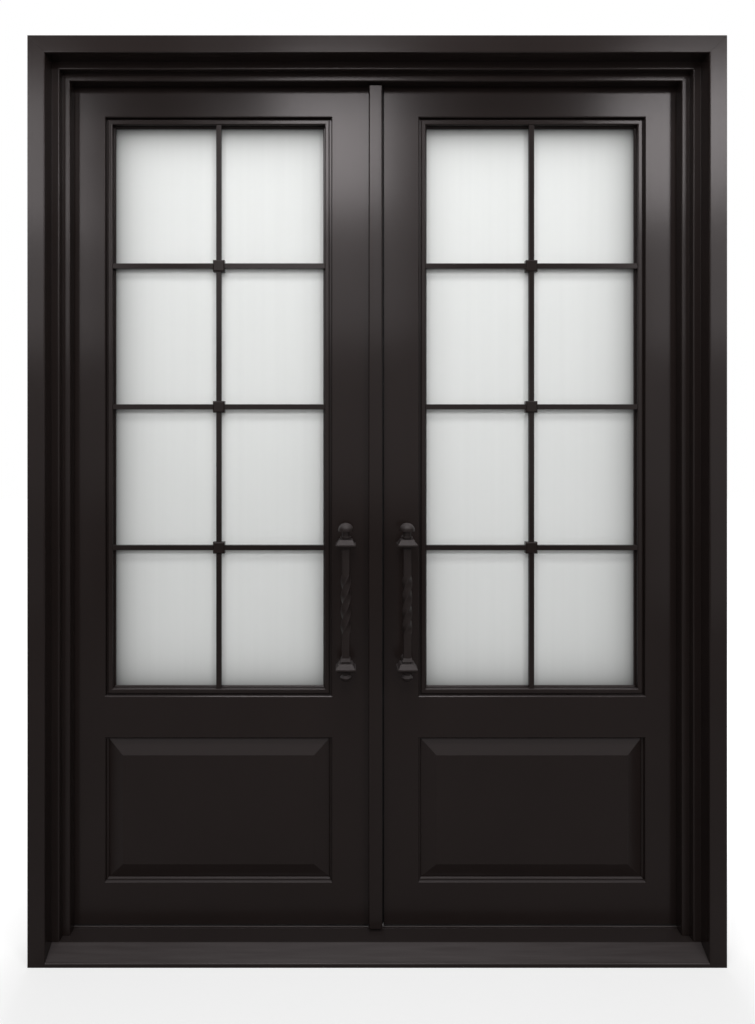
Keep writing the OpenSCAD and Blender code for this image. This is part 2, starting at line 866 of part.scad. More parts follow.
// Puts a pull piece outside the leaf, or mirrored inside it
module outside() { translate([-pull_x, leaf_y - pull_stand, pull_z]) children(); }
module inside() { translate([-pull_x, back_y + pull_stand, pull_z]) mirror([0, 1, 0]) children(); }

// Both ends of a pull
module pull_ends() {
    translate([0, 0, post_at]) upper_end();
    translate([0, 0, -post_at]) lower_end();
}

// The grips are all one part, so a mirrored place takes a mirrored grip to keep the twist
module left_outer_grip() { color(iron) outside() grip(); }
module right_outer_grip() { color(iron) right_side() outside() mirror([1, 0, 0]) grip(); }
module left_inner_grip() { color(iron) inside() mirror([1, 0, 0]) grip(); }
module right_inner_grip() { color(iron) right_side() inside() grip(); }
module left_outer_pull_ends() { color(iron) outside() pull_ends(); }
module right_outer_pull_ends() { color(iron) right_side() outside() pull_ends(); }
module left_inner_pull_ends() { color(iron) inside() pull_ends(); }
module right_inner_pull_ends() { color(iron) right_side() inside() pull_ends(); }

// Studs that tie the outer and inner pulls together through the leaf
module pull_studs() {
    reach = stud_sink - overrun;
    color(steel) for (z = post_heights)
        translate([-pull_x, leaf_y - reach, z])
            rotate([-90, 0, 0]) cylinder(r = stud_r, h = leaf_t + 2 * reach);
}

module left_pull_studs() { pull_studs(); }
module right_pull_studs() { right_side() pull_studs(); }

// Hinged sash that carries the glass behind the grille
module sash_frame() {
    section = [
        [sash_gap, sash_y], [sash_edge - opening_chamfer, sash_y], [sash_edge, sash_y + opening_chamfer],
        [sash_edge, glass_y], [glass_edge, glass_y], [glass_edge, back_y], [sash_gap, back_y]
    ];
    color(iron) mitred_frame([open_left, open_right], [lite_low, lite_top], section);
}

module left_sash_frame() { sash_frame(); }
module right_sash_frame() { right_side() sash_frame(); }

// Sealed unit of frosted glass in the sash
module glass_unit() {
    color(glazing) block(
        [open_left + glass_edge, glass_y, lite_low + glass_edge],
        [open_right - glass_edge, glass_back, lite_top - glass_edge]
    );
}

module left_glass_unit() { glass_unit(); }
module right_glass_unit() { right_side() glass_unit(); }

// Bead that holds the glass in the sash from the inside
module glazing_bead() {
    section = [
        [glass_edge, glass_back], [sash_edge, glass_back], [sash_edge, back_y - opening_chamfer],
        [sash_edge - opening_chamfer, back_y], [glass_edge, back_y]
    ];
    color(iron) mitred_frame([open_left, open_right], [lite_low, lite_top], section);
}

module left_glazing_bead() { glazing_bead(); }
module right_glazing_bead() { right_side() glazing_bead(); }

// Puts one half of a sash hinge at each of its places
module at_sash_hinges() {
    for (z = sash_hinge_places) translate([sash_barrel_x, sash_barrel_y, z]) children();
}

module sash_hinge_leaf_plates() {
    color(iron) at_sash_hinges()
        hinge_half(-1, fixed_rows(sash_hinge_len), sash_hinge_len,
            sash_barrel_r, sash_pin_r + running, sash_plate_w, sash_plate_t);
}

module left_sash_hinge_leaf_plates() { sash_hinge_leaf_plates(); }
module right_sash_hinge_leaf_plates() { right_side() sash_hinge_leaf_plates(); }

module sash_hinge_plates() {
    color(iron) at_sash_hinges()
        hinge_half(1, moving_rows(sash_hinge_len), sash_hinge_len,
            sash_barrel_r, sash_pin_r + running, sash_plate_w, sash_plate_t);
}

module left_sash_hinge_plates() { sash_hinge_plates(); }
module right_sash_hinge_plates() { right_side() sash_hinge_plates(); }

module sash_hinge_pins() {
    color(steel) at_sash_hinges() capped_pin(sash_pin_r, sash_hinge_len, sash_barrel_r);
}

module left_sash_hinge_pins() { sash_hinge_pins(); }
module right_sash_hinge_pins() { right_side() sash_hinge_pins(); }

// Turn button beside the sash, hanging free, with its stud in the leaf
module turn_button(z) {
    half = button_w / 2;
    color(steel) translate([button_x, back_y, z]) {
        translate([0, clear, 0]) rotate([-90, 0, 0]) cylinder(r = half, h = button_t);
        block([-half, clear, half - button_reach], [half, clear + button_t, 0]);
        translate([0, clear, half - button_reach]) rotate([-90, 0, 0]) cylinder(r = half, h = button_t);
        translate([0, clear, 0]) rotate([90, 0, 0]) cylinder(r = button_stud_r, h = button_stud_len);
    }
}

module left_low_button() { turn_button(button_heights[0]); }
module right_low_button() { right_side() turn_button(button_heights[0]); }
module left_high_button() { turn_button(button_heights[1]); }
module right_high_button() { right_side() turn_button(button_heights[1]); }

// Flat bar welded to the meeting edge of the first leaf
module astragal() {
    half = astragal_w / 2;
    front = leaf_y - astragal_proud;
    corner = [
        for (i = [0 : arris_steps])
            let (turn = 90 * i / arris_steps - 90)
            [half - arris_r + arris_r * cos(turn), front + arris_r + arris_r * sin(turn)]
    ];
    section = concat(
        corner, [[half, leaf_y], [-half, leaf_y]],
        [for (i = [arris_steps : -1 : 0]) [-corner[i][0], corner[i][1]]]
    );
    low = sill_h + lip_h + astragal_gap;
    color(iron) height_prism(section, low, frame_h - stop_edge - astragal_gap);
}

// Soft strip on the meeting edge of the first leaf
module meeting_seal() {
    color(rubber) block(
        [first_edge, leaf_y + opening_chamfer, leaf_low],
        [first_edge + meeting_seal_t, leaf_y + opening_chamfer + meeting_seal_w, leaf_top]
    );
}

// Face plate of a sliding bolt, slotted for its thumb piece
module bolt_face_plate() {
    low = -bolt_len - bolt_travel;
    edge = first_edge - bolt_x;
    half = bolt_plate_w / 2;
    slot = bolt_knob / 2 + clear;
    difference() {
        block([edge - bolt_plate_t, -half, low - bolt_travel],
            [edge, half, low + bolt_pocket_len + bolt_travel]);
        block([edge - bolt_plate_t - overrun, -slot, low + bolt_travel / 2],
            [edge + overrun, slot, low + bolt_pocket_len - bolt_travel / 2]);
    }
}

module bolt_face_plates() {
    color(steel) {
        at_leaf_top() bolt_face_plate();
        at_leaf_bottom() bolt_face_plate();
    }
}

// Sliding bolt with its thumb piece, drawn back into the leaf
module sliding_bolt() {
    low = -bolt_len - bolt_sink;
    edge = first_edge - bolt_x;
    half = bolt_knob / 2;
    translate([0, 0, low]) cylinder(r = bolt_r, h = bolt_len);
    block([0, -half, low], [edge - bolt_sink, half, low + bolt_knob]);
}

module top_bolt() { color(steel) at_leaf_top() sliding_bolt(); }
module bottom_bolt() { color(steel) at_leaf_bottom() sliding_bolt(); }

left_jamb();
right_jamb();
head_jamb();
threshold();
left_jamb_seal();
right_jamb_seal();
head_seal();
hinge_jamb_plates();
hinge_pins();
left_leaf_frame();
right_leaf_frame();
left_hinge_leaf_plates();
right_hinge_leaf_plates();
left_light_moulding();
right_light_moulding();
left_grille_upright();
right_grille_upright();
left_grille_crossbars();
right_grille_crossbars();
left_grille_collars();
right_grille_collars();
left_outer_panel();
right_outer_panel();
left_panel_bead();
right_panel_bead();
left_inner_panel();
right_inner_panel();
left_bottom_sweep();
right_bottom_sweep();
left_outer_grip();
right_outer_grip();
left_outer_pull_ends();
right_outer_pull_ends();
left_inner_grip();
right_inner_grip();
left_inner_pull_ends();
right_inner_pull_ends();
left_pull_studs();
right_pull_studs();
left_sash_frame();
right_sash_frame();
left_glass_unit();
right_glass_unit();
left_glazing_bead();
right_glazing_bead();
left_sash_hinge_leaf_plates();
right_sash_hinge_leaf_plates();
left_sash_hinge_plates();
right_sash_hinge_plates();
left_sash_hinge_pins();
right_sash_hinge_pins();
left_low_button();
right_low_button();
left_high_button();
right_high_button();
astragal();
meeting_seal();
bolt_face_plates();
top_bolt();
bottom_bolt();
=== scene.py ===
# %% [markdown]
# # A double iron door, dressed for its picture
#
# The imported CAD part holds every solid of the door: frame, leaves, grilles, glass, pulls and hinges.
# This script leaves those solids where they are and gives them their looks: paint, frosted glass,
# plain steel and rubber, a few pieces that are finer than the CAD needs, a floor, light and a camera.

# %% Load the frame
import json
import math

import bpy
import bmesh
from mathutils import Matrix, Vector

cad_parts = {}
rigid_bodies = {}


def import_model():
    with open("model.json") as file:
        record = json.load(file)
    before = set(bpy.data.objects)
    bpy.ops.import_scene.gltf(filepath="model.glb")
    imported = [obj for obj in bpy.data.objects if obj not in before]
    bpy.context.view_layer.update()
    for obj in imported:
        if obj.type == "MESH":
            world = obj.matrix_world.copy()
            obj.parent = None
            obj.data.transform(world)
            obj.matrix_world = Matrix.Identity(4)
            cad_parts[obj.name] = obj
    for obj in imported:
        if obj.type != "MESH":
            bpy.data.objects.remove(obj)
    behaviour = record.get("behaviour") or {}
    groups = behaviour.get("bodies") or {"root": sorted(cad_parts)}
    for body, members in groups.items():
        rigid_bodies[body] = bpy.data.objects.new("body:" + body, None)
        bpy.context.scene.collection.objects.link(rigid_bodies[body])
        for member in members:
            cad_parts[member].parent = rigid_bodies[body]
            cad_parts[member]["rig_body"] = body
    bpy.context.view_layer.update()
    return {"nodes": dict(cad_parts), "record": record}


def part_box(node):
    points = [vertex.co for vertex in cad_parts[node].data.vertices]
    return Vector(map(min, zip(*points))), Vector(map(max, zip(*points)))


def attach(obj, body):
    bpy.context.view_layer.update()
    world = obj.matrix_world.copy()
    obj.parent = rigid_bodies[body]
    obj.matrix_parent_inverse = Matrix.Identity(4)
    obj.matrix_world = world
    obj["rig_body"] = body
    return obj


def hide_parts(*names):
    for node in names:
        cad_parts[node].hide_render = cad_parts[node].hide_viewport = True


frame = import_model()
nodes = frame["nodes"]
print("nodes:", len(nodes))

# %% [markdown]
# ## Helpers for meshes
#
# A mesh is made from plain vertices and faces and rides on one CAD body. Faces that meet at a small angle
# are shaded as one smooth surface, and every sharper edge stays crisp, so one mesh can hold both round and
# square forms.

# %% Mesh helpers
def shade_by_angle(piece, angle):
    mesh = piece.data
    edit = bmesh.new()
    edit.from_mesh(mesh)
    bmesh.ops.recalc_face_normals(edit, faces=edit.faces)
    limit = math.radians(angle)
    for face in edit.faces:
        face.smooth = True
    for edge in edit.edges:
        edge.smooth = len(edge.link_faces) == 2 and edge.calc_face_angle(0.0) < limit
    edit.to_mesh(mesh)
    edit.free()


def new_piece(name, vertices, faces, body, smooth_angle=35.0):
    mesh = bpy.data.meshes.new(name)
    mesh.from_pydata([tuple(v) for v in vertices], [], faces)
    mesh.validate()
    mesh.update()
    piece = bpy.data.objects.new(name, mesh)
    bpy.context.scene.collection.objects.link(piece)
    shade_by_angle(piece, smooth_angle)
    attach(piece, body)
    return piece


def body_of_node(name):
    return nodes[name]["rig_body"]


# %% [markdown]
# ## Helpers for finishes
#
# A finish is a tree of nodes joined by wires. Some steps come back in every tree: noise over the surface,
# a ramp that turns one range of values into another, a product of two masks, and the share by which a
# face is turned up. Each has a helper of its own, so the finishes below read from top to bottom.

# %% Node helpers
def node_in(tree, kind, sockets=None, **values):
    node = tree.nodes.new(kind)
    for name, value in values.items():
        setattr(node, name, value)
    for name, value in (sockets or {}).items():
        node.inputs[name].default_value = value
    return node


def wire(tree, source, target):
    tree.links.new(source, target)


def noise(tree, place, scale, detail):
    node = node_in(tree, "ShaderNodeTexNoise", {"Scale": scale, "Detail": detail})
    wire(tree, place, node.inputs["Vector"])
    return node.outputs["Fac"]


def ramp(tree, source, low, high, start=0.0, end=1.0, **values):
    sockets = {"From Min": low, "From Max": high, "To Min": start, "To Max": end}
    node = node_in(tree, "ShaderNodeMapRange", sockets, **values)
    wire(tree, source, node.inputs["Value"])
    return node.outputs["Result"]


def join(tree, operation, first, second):
    node = node_in(tree, "ShaderNodeMath", operation=operation)
    wire(tree, first, node.inputs[0])
    wire(tree, second, node.inputs[1])
    return node.outputs["Value"]


def scaled_colour(tree, colour, share):
    node = node_in(tree, "ShaderNodeVectorMath", operation="SCALE")
    wire(tree, colour, node.inputs[0])
    wire(tree, share, node.inputs["Scale"])
    return node.outputs["Vector"]


def axes_of(tree, vector):
    node = node_in(tree, "ShaderNodeSeparateXYZ")
    wire(tree, vector, node.inputs["Vector"])
    return node.outputs


def turned_up(tree, low, high):
    normal = node_in(tree, "ShaderNodeNewGeometry").outputs["Normal"]
    return ramp(tree, axes_of(tree, normal)["Z"], low, high)


# %% [markdown]
# ## Paint on iron
#
# The real door is sprayed with a dark bronze paint that dries to a satin film. The film has a very fine
# orange-peel surface. Whatever faces up is painted paler, partly as dust and partly as painted light from
# above. Each material could draw these by itself, but one node group makes them for any paint: a mottled
# colour with the pale tone of dust and painted top light, a roughness that wanders a little, and a height
# for the bump.

# %% Paint group
cloud_scale, peel_scale = 3.5, 420.0
mottle_low, mottle_high = 0.86, 1.16
roughness_wander = 0.035
dust_and_top_light_from, dust_and_top_light_full = 0.08, 0.95


def make_film_group():
    group = bpy.data.node_groups.new("sprayed_film", "ShaderNodeTree")
    for name, kind in (("Colour", "NodeSocketColor"), ("Dust And Top Light Colour", "NodeSocketColor"),
                       ("Dust And Top Light", "NodeSocketFloat"), ("Roughness", "NodeSocketFloat")):
        group.interface.new_socket(name, in_out="INPUT", socket_type=kind)
    for name, kind in (("Colour", "NodeSocketColor"), ("Roughness", "NodeSocketFloat"),
                       ("Height", "NodeSocketFloat")):
        group.interface.new_socket(name, in_out="OUTPUT", socket_type=kind)
    given = node_in(group, "NodeGroupInput").outputs
    result = node_in(group, "NodeGroupOutput").inputs
    place = node_in(group, "ShaderNodeTexCoord").outputs["Object"]
    cloud = noise(group, place, cloud_scale, 4.0)

    mottle = ramp(group, cloud, 0.0, 1.0, mottle_low, mottle_high)
    # dust and painted top light: faces that turn up take the pale tone, partly as settled dust and partly as painted
    # light from above
    settled_and_lit = join(group, "MULTIPLY", turned_up(group, dust_and_top_light_from, dust_and_top_light_full), given["Dust And Top Light"])
    dusted_and_lit = node_in(group, "ShaderNodeMix", data_type="RGBA")
    wire(group, settled_and_lit, dusted_and_lit.inputs["Factor"])
    wire(group, scaled_colour(group, given["Colour"], mottle), dusted_and_lit.inputs["A"])
    wire(group, given["Dust And Top Light Colour"], dusted_and_lit.inputs["B"])
    wander = ramp(group, cloud, 0.0, 1.0, -roughness_wander, roughness_wander)

    wire(group, dusted_and_lit.outputs["Result"], result["Colour"])
    wire(group, join(group, "ADD", given["Roughness"], wander), result["Roughness"])
    wire(group, noise(group, place, peel_scale, 2.0), result["Height"])
    return group


film = make_film_group()
print("group:", film.name, "with", len(film.nodes), "nodes")

# %% [markdown]
# ## Materials from the film
#
# Every finish is a Principled shader fed by the film group. The edge of a painted steel section is never
# knife sharp, so the normal first goes through a bevel of about a millimetre, and the orange peel is laid
# on top as a weak bump. The leaves and frame have the smoothest film, because they mirror the room in soft
# patches; the small cast pieces of the pulls are rougher.

# %% Film materials
bronze = (0.0160, 0.0113, 0.0103)
bare_steel = (0.34, 0.345, 0.35)
black_rubber = (0.006, 0.006, 0.006)
grey_rubber = (0.060, 0.057, 0.056)
# pale tone for dust and painted top light on faces that turn up; the sill also mixes it in as painted light
dust_and_top_light_tone = (0.150, 0.134, 0.136)
sheen_tint = (1.0, 0.94, 0.955)
peel_height = 0.0004


def film_material(name, colour, dust_and_top_light, roughness, specular, edge, peel, metallic=0.0):
    material = bpy.data.materials.new(name)
    material.use_nodes = True
    tree = material.node_tree
    shader = tree.nodes["Principled BSDF"]
    shader.inputs["Metallic"].default_value = metallic
    shader.inputs["Specular IOR Level"].default_value = specular
    shader.inputs["Specular Tint"].default_value = (*sheen_tint, 1.0)
    coat = node_in(tree, "ShaderNodeGroup", node_tree=film)
    coat.inputs["Colour"].default_value = (*colour, 1.0)
    # tone and share of dust and painted top light for faces that turn up
    coat.inputs["Dust And Top Light Colour"].default_value = (*dust_and_top_light_tone, 1.0)
    coat.inputs["Dust And Top Light"].default_value = dust_and_top_light
    coat.inputs["Roughness"].default_value = roughness
    rounded = node_in(tree, "ShaderNodeBevel", {"Radius": edge}, samples=6)
    bump = node_in(tree, "ShaderNodeBump", {"Strength": peel, "Distance": peel_height})
    wire(tree, rounded.outputs["Normal"], bump.inputs["Normal"])
    wire(tree, coat.outputs["Height"], bump.inputs["Height"])
    wire(tree, coat.outputs["Colour"], shader.inputs["Base Color"])
    wire(tree, coat.outputs["Roughness"], shader.inputs["Roughness"])
    wire(tree, bump.outputs["Normal"], shader.inputs["Normal"])
    return material


materials = {
    "door_iron": film_material("door_iron", bronze, dust_and_top_light=0.30, roughness=0.185, specular=0.25,
                               edge=0.0012, peel=0.15),
    "pull_iron": film_material("pull_iron", bronze, dust_and_top_light=0.42, roughness=0.46, specular=0.24,
                               edge=0.0010, peel=0.15),
    "fitting_steel": film_material("fitting_steel", bare_steel, dust_and_top_light=0.10, roughness=0.34, specular=0.50,
                                   edge=0.0005, peel=0.10, metallic=1.0),
    "seal_rubber": film_material("seal_rubber", black_rubber, dust_and_top_light=0.15, roughness=0.62, specular=0.30,
                                 edge=0.0005, peel=0.25),
    "sweep_rubber": film_material("sweep_rubber", grey_rubber, dust_and_top_light=0.20, roughness=0.60, specular=0.30,
                                  edge=0.0005, peel=0.25),
}
print("film materials:", sorted(materials))

# %% [markdown]
# ## The sill
#
# The sloped front of the sill and its lip turn up to the light from above, so both get a paler tone as
# painted light, with a painted highlight along the lip, while the flat strip between them gets none. A
# second material could be laid on some faces, but this painted light has no hard border, so the same paint
# is used, with the pale tone mixed in where a face lies on the front or from the lip back and turns up,
# broken up by streaks that run along the sill.

# %% Sill
slope_depth, slope_blend = 0.045, 0.002
lip_depth, lip_blend = 0.095, 0.001
painted_light_least, painted_light_most = 0.13, 0.26
streak_stretch = (3.0, 60.0, 60.0)


def sill_material():
    material = film_material("sill_iron", bronze, dust_and_top_light=0.07, roughness=0.30, specular=0.25,
                             edge=0.0012, peel=0.15)
    tree = material.node_tree
    shader = tree.nodes["Principled BSDF"]
    painted = shader.inputs["Base Color"].links[0].from_socket
    slope_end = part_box("threshold")[0].y + slope_depth
    lip_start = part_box("threshold")[0].y + lip_depth
    place = node_in(tree, "ShaderNodeTexCoord").outputs["Object"]
    depth = axes_of(tree, place)["Y"]
    front = ramp(tree, depth, slope_end - slope_blend, slope_end, 1.0, 0.0)
    lip = ramp(tree, depth, lip_start - lip_blend, lip_start)
    stretch = node_in(tree, "ShaderNodeMapping", {"Scale": streak_stretch})
    wire(tree, place, stretch.inputs["Vector"])
    streak = noise(tree, stretch.outputs["Vector"], 2.0, 5.0)
    amount = ramp(tree, streak, 0.30, 0.70, painted_light_least, painted_light_most)
    # painted light on the sloped front and a painted highlight from the lip back, only on faces that turn up
    lit_front_and_lip = join(tree, "MAXIMUM", front, lip)
    painted_light_mask = join(tree, "MULTIPLY", lit_front_and_lip, turned_up(tree, 0.30, 0.70))
    painted_light_mix = node_in(tree, "ShaderNodeMix", data_type="RGBA")
    painted_light_mix.inputs["B"].default_value = (*dust_and_top_light_tone, 1.0)
    wire(tree, join(tree, "MULTIPLY", painted_light_mask, amount), painted_light_mix.inputs["Factor"])
    wire(tree, painted, painted_light_mix.inputs["A"])
    wire(tree, painted_light_mix.outputs["Result"], shader.inputs["Base Color"])
    return material


sill_iron = sill_material()
print("sill:", sill_iron.name)

# %% [markdown]
# ## Shade at the rim of the glass
#
# The deep moulding and sash keep light off the rim of the glass, so each light fades towards its edges,
# most of all under the head. Traced shadows alone come out too hard for this. The fade follows an
# exponential of the distance to each of the four edges, with its own depth and reach for each, and the
# four are multiplied. Both leaves mirror each other, so the distance from the middle serves for both.

# %% Edge fade
hidden_rim = 0.010


def edge_fade(tree, along, edge, sign, depth, reach):
    inward = node_in(tree, "ShaderNodeMath", {1: edge}, operation="SUBTRACT")
    wire(tree, along, inward.inputs[0])
    scaled = node_in(tree, "ShaderNodeMath", {1: -sign / reach}, operation="MULTIPLY")
    wire(tree, inward.outputs["Value"], scaled.inputs[0])
    falling = node_in(tree, "ShaderNodeMath", operation="EXPONENT")
    wire(tree, scaled.outputs["Value"], falling.inputs[0])
    shade = node_in(tree, "ShaderNodeMath", {1: -depth, 2: 1.0}, operation="MULTIPLY_ADD", use_clamp=True)
    wire(tree, falling.outputs["Value"], shade.inputs[0])
    return shade.outputs["Value"]


def rim_shade(tree, place):
    low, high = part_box("right_glass_unit")
    axes = axes_of(tree, place)
    middle = node_in(tree, "ShaderNodeMath", operation="ABSOLUTE")
    wire(tree, axes["X"], middle.inputs[0])
    aside = middle.outputs["Value"]
    fades = [
        edge_fade(tree, aside, high.x - hidden_rim, -1.0, depth=0.66, reach=0.040),
        edge_fade(tree, aside, low.x + hidden_rim, 1.0, depth=0.30, reach=0.032),
        edge_fade(tree, axes["Z"], high.z - hidden_rim, -1.0, depth=0.84, reach=0.043),
        edge_fade(tree, axes["Z"], low.z + hidden_rim, 1.0, depth=0.52, reach=0.046),
    ]
    border = fades[0]
    for fade in fades[1:]:
        border = join(tree, "MULTIPLY", border, fade)
    return border


print("light rim hidden:", hidden_rim)

# %% [markdown]
# ## Frosted glass
#
# The lights are sealed units whose faces are acid etched, so they scatter what falls on them and show
# nothing behind. Rough clear glass would do it, but needs many samples to look calm. Here most of the
# light is scattered by a milky surface and a small share passes through. The milk is a little cloudy, and
# faint upright streaks are left by the etching.

# %% Glass
glass_passes = 0.12
etch_low, etch_high = 0.46, 0.58
milk_thin, milk_thick = (0.898, 0.912, 0.899), (0.944, 0.956, 0.945)
drawn_stretch, drawn_change = (60.0, 60.0, 0.8), 0.025


def frosted_material():
    material = bpy.data.materials.new("frosted_glass")
    material.use_nodes = True
    tree = material.node_tree
    shader = tree.nodes["Principled BSDF"]
    shader.inputs["Transmission Weight"].default_value = glass_passes
    shader.inputs["IOR"].default_value = 1.45
    shader.inputs["Specular IOR Level"].default_value = 0.30
    place = node_in(tree, "ShaderNodeTexCoord").outputs["Object"]
    cloud = noise(tree, place, 2.2, 3.0)
    wire(tree, ramp(tree, cloud, 0.0, 1.0, etch_low, etch_high), shader.inputs["Roughness"])
    milk = node_in(tree, "ShaderNodeMix", data_type="RGBA")
    milk.inputs["A"].default_value = (*milk_thin, 1.0)
    milk.inputs["B"].default_value = (*milk_thick, 1.0)
    wire(tree, cloud, milk.inputs["Factor"])
    stretch = node_in(tree, "ShaderNodeMapping", {"Scale": drawn_stretch})
    wire(tree, place, stretch.inputs["Vector"])
    drawn = noise(tree, stretch.outputs["Vector"], 1.0, 2.0)
    streaks = ramp(tree, drawn, 0.0, 1.0, 1.0 - drawn_change, 1.0 + drawn_change)
    shade = join(tree, "MULTIPLY", rim_shade(tree, place), streaks)
    wire(tree, scaled_colour(tree, milk.outputs["Result"], shade), shader.inputs["Base Color"])
    return material


materials["frosted_glass"] = frosted_material()
print("glass:", materials["frosted_glass"].name)

# %% [markdown]
# ## Twisted grips
#
# Each grip is a square bar, heated and turned through one full turn in its middle. The CAD bar is faceted
# in coarse slices; here the same bar is drawn with many fine rings and rounded arrises, so that the light
# runs along the twist in clean lines. It takes the place of the CAD bar in the picture. Hot work leaves
# the bar duller than the rest of the pull, so it has a rougher film of its own.

# %% Outline of the bar
grip_w, grip_round, round_steps = 0.0205, 0.0026, 4
grip_iron = film_material("grip_iron", bronze, dust_and_top_light=0.42, roughness=0.52, specular=0.20,
                          edge=0.0010, peel=0.15)


def bar_outline():
    half = grip_w / 2 - grip_round
    points = []
    for corner in range(4):
        turn = math.radians(45 + 90 * corner)
        centre = Vector((math.copysign(half, math.cos(turn)), math.copysign(half, math.sin(turn))))
        for step in range(round_steps + 1):
            angle = math.radians(90 * corner + 90 * step / round_steps)
            points.append(centre + grip_round * Vector((math.cos(angle), math.sin(angle))))
    return points


print("points round the bar:", len(bar_outline()))

# %% [markdown]
# The outline is stacked in rings from the foot of the bar to its head. Outside the twist two rings are
# enough, because the bar is straight there; within it each ring is turned a little more than the last.

# %% Grips
twist_len, twist_middle, twist_rings = 0.160, 0.9415, 96
full_turn = 2 * math.pi


def bar_rings(foot, head):
    rings = [(foot, 0.0)]
    for ring in range(twist_rings + 1):
        share = ring / twist_rings
        rings.append((twist_middle - twist_len / 2 + share * twist_len, full_turn * share))
    return rings + [(head, full_turn)]


def twisted_bar(node):
    low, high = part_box(node)
    middle = (low + high) / 2
    outline, rings = bar_outline(), bar_rings(low.z, high.z)
    vertices = []
    for height, turn in rings:
        for point in outline:
            x = point.x * math.cos(turn) - point.y * math.sin(turn)
            y = point.x * math.sin(turn) + point.y * math.cos(turn)
            vertices.append((middle.x + x, middle.y + y, height))
    count = len(outline)
    last = (len(rings) - 1) * count
    faces = [(base + i, base + (i + 1) % count, base + count + (i + 1) % count, base + count + i)
             for base in range(0, last, count) for i in range(count)]
    faces += [tuple(reversed(range(count))), tuple(range(last, last + count))]
    bar = new_piece(node + "_bar", vertices, faces, body_of_node(node))
    bar.data.materials.append(grip_iron)
    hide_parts(node)
    return bar


bars = [twisted_bar(side + "_" + face + "_grip") for side in ("left", "right") for face in ("outer", "inner")]
print("twisted bars:", len(bars), "with", len(bars[0].data.polygons), "faces each")

# %% [markdown]
# ## Fin of the meeting seal
#
# The rubber seal on the meeting edge carries a thin soft fin that touches the other leaf and bends out of
# its way when the leaves move. It is too limp to count as a solid, so it is a plain strip in the picture
# only, and it keeps daylight out of the gap.

# %% Fin
fin_gap, fin_t = 0.00002, 0.0012


def plain_block(name, low, high, body, slot):
    corners = [(x, y, z) for x in (low[0], high[0]) for y in (low[1], high[1]) for z in (low[2], high[2])]
    sides = [(0, 1, 3, 2), (4, 6, 7, 5), (0, 4, 5, 1), (2, 3, 7, 6), (0, 2, 6, 4), (1, 5, 7, 3)]
    block = new_piece(name, corners, sides, body)
    block.data.materials.append(materials[slot])
    return block


seal_low, seal_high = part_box("meeting_seal")
leaf_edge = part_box("right_leaf_frame")[0].x
plain_block("meeting_fin", (seal_high.x, seal_high.y - fin_t, seal_low.z),
            (leaf_edge - fin_gap, seal_high.y, seal_high.z), body_of_node("meeting_seal"), "seal_rubber")
print("fin width:", round(leaf_edge - seal_high.x, 4))

# %% [markdown]
# ## Dress the CAD nodes
#
# The record says which slot each node belongs to, and each slot has one finish. The sill is the one node
# with a finish of its own, because it is trodden on.

# %% Dress
slot_of = {part["node"]: part["material_slot"] for part in frame["record"]["subparts"]}
for name, piece in nodes.items():
    piece.data.materials.clear()
    piece.data.materials.append(sill_iron if name == "threshold" else materials[slot_of[name]])
print("dressed:", {slot: list(slot_of.values()).count(slot) for slot in materials})

# %% [markdown]
# ## Floor
#
# The door stands on a pale, matt floor. Near the door the floor takes its shadow, and further out it
# glows a little more for the camera until it is white, so that no horizon shows behind the door. A curved
# backdrop would do the same, but would be seen when the door is viewed from other sides.

# %% Floor
floor_reach = 14.0
fade_from, fade_full = 0.85, 1.50
glow_near, glow_far = 0.62, 1.00
floor_near, floor_far = (0.42, 0.42, 0.42), (0.38, 0.38, 0.38)


def floor_finish():
    material = bpy.data.materials.new("studio_floor")
    material.use_nodes = True
    tree = material.node_tree
    shader = tree.nodes["Principled BSDF"]
    shader.inputs["Roughness"].default_value = 0.9
    shader.inputs["Specular IOR Level"].default_value = 0.1
    shader.inputs["Emission Color"].default_value = (1.0, 1.0, 1.0, 1.0)
    away = node_in(tree, "ShaderNodeVectorMath", operation="LENGTH")
    wire(tree, node_in(tree, "ShaderNodeTexCoord").outputs["Object"], away.inputs[0])
    fade = ramp(tree, away.outputs["Value"], fade_from, fade_full, interpolation_type="SMOOTHSTEP")
    tone = node_in(tree, "ShaderNodeMix", data_type="RGBA")
    tone.inputs["A"].default_value = (*floor_near, 1.0)
    tone.inputs["B"].default_value = (*floor_far, 1.0)
    wire(tree, fade, tone.inputs["Factor"])
    wire(tree, tone.outputs["Result"], shader.inputs["Base Color"])
    glow = node_in(tree, "ShaderNodeMix", data_type="FLOAT")
    glow.inputs["A"].default_value = glow_near
    glow.inputs["B"].default_value = glow_far
    wire(tree, fade, glow.inputs["Factor"])
    seen = node_in(tree, "ShaderNodeLightPath").outputs["Is Camera Ray"]
    wire(tree, join(tree, "MULTIPLY", seen, glow.outputs["Result"]), shader.inputs["Emission Strength"])
    return material


floor_mesh = bpy.data.meshes.new("studio_floor")
floor_mesh.from_pydata(
    [(-floor_reach, -floor_reach, 0), (floor_reach, -floor_reach, 0),
     (floor_reach, floor_reach, 0), (-floor_reach, floor_reach, 0)], [], [(0, 1, 2, 3)])
floor = bpy.data.objects.new("studio_floor", floor_mesh)
floor.data.materials.append(floor_finish())
bpy.context.scene.collection.objects.link(floor)
print("floor:", floor_reach)

# %% [markdown]
# ## Surround
#
# An even grey surround fills the shadows. The camera itself sees it as white, which gives the plain
# background of the picture without more light on the door.

# %% Surround
fill_light, white_behind = 0.245, 1.0

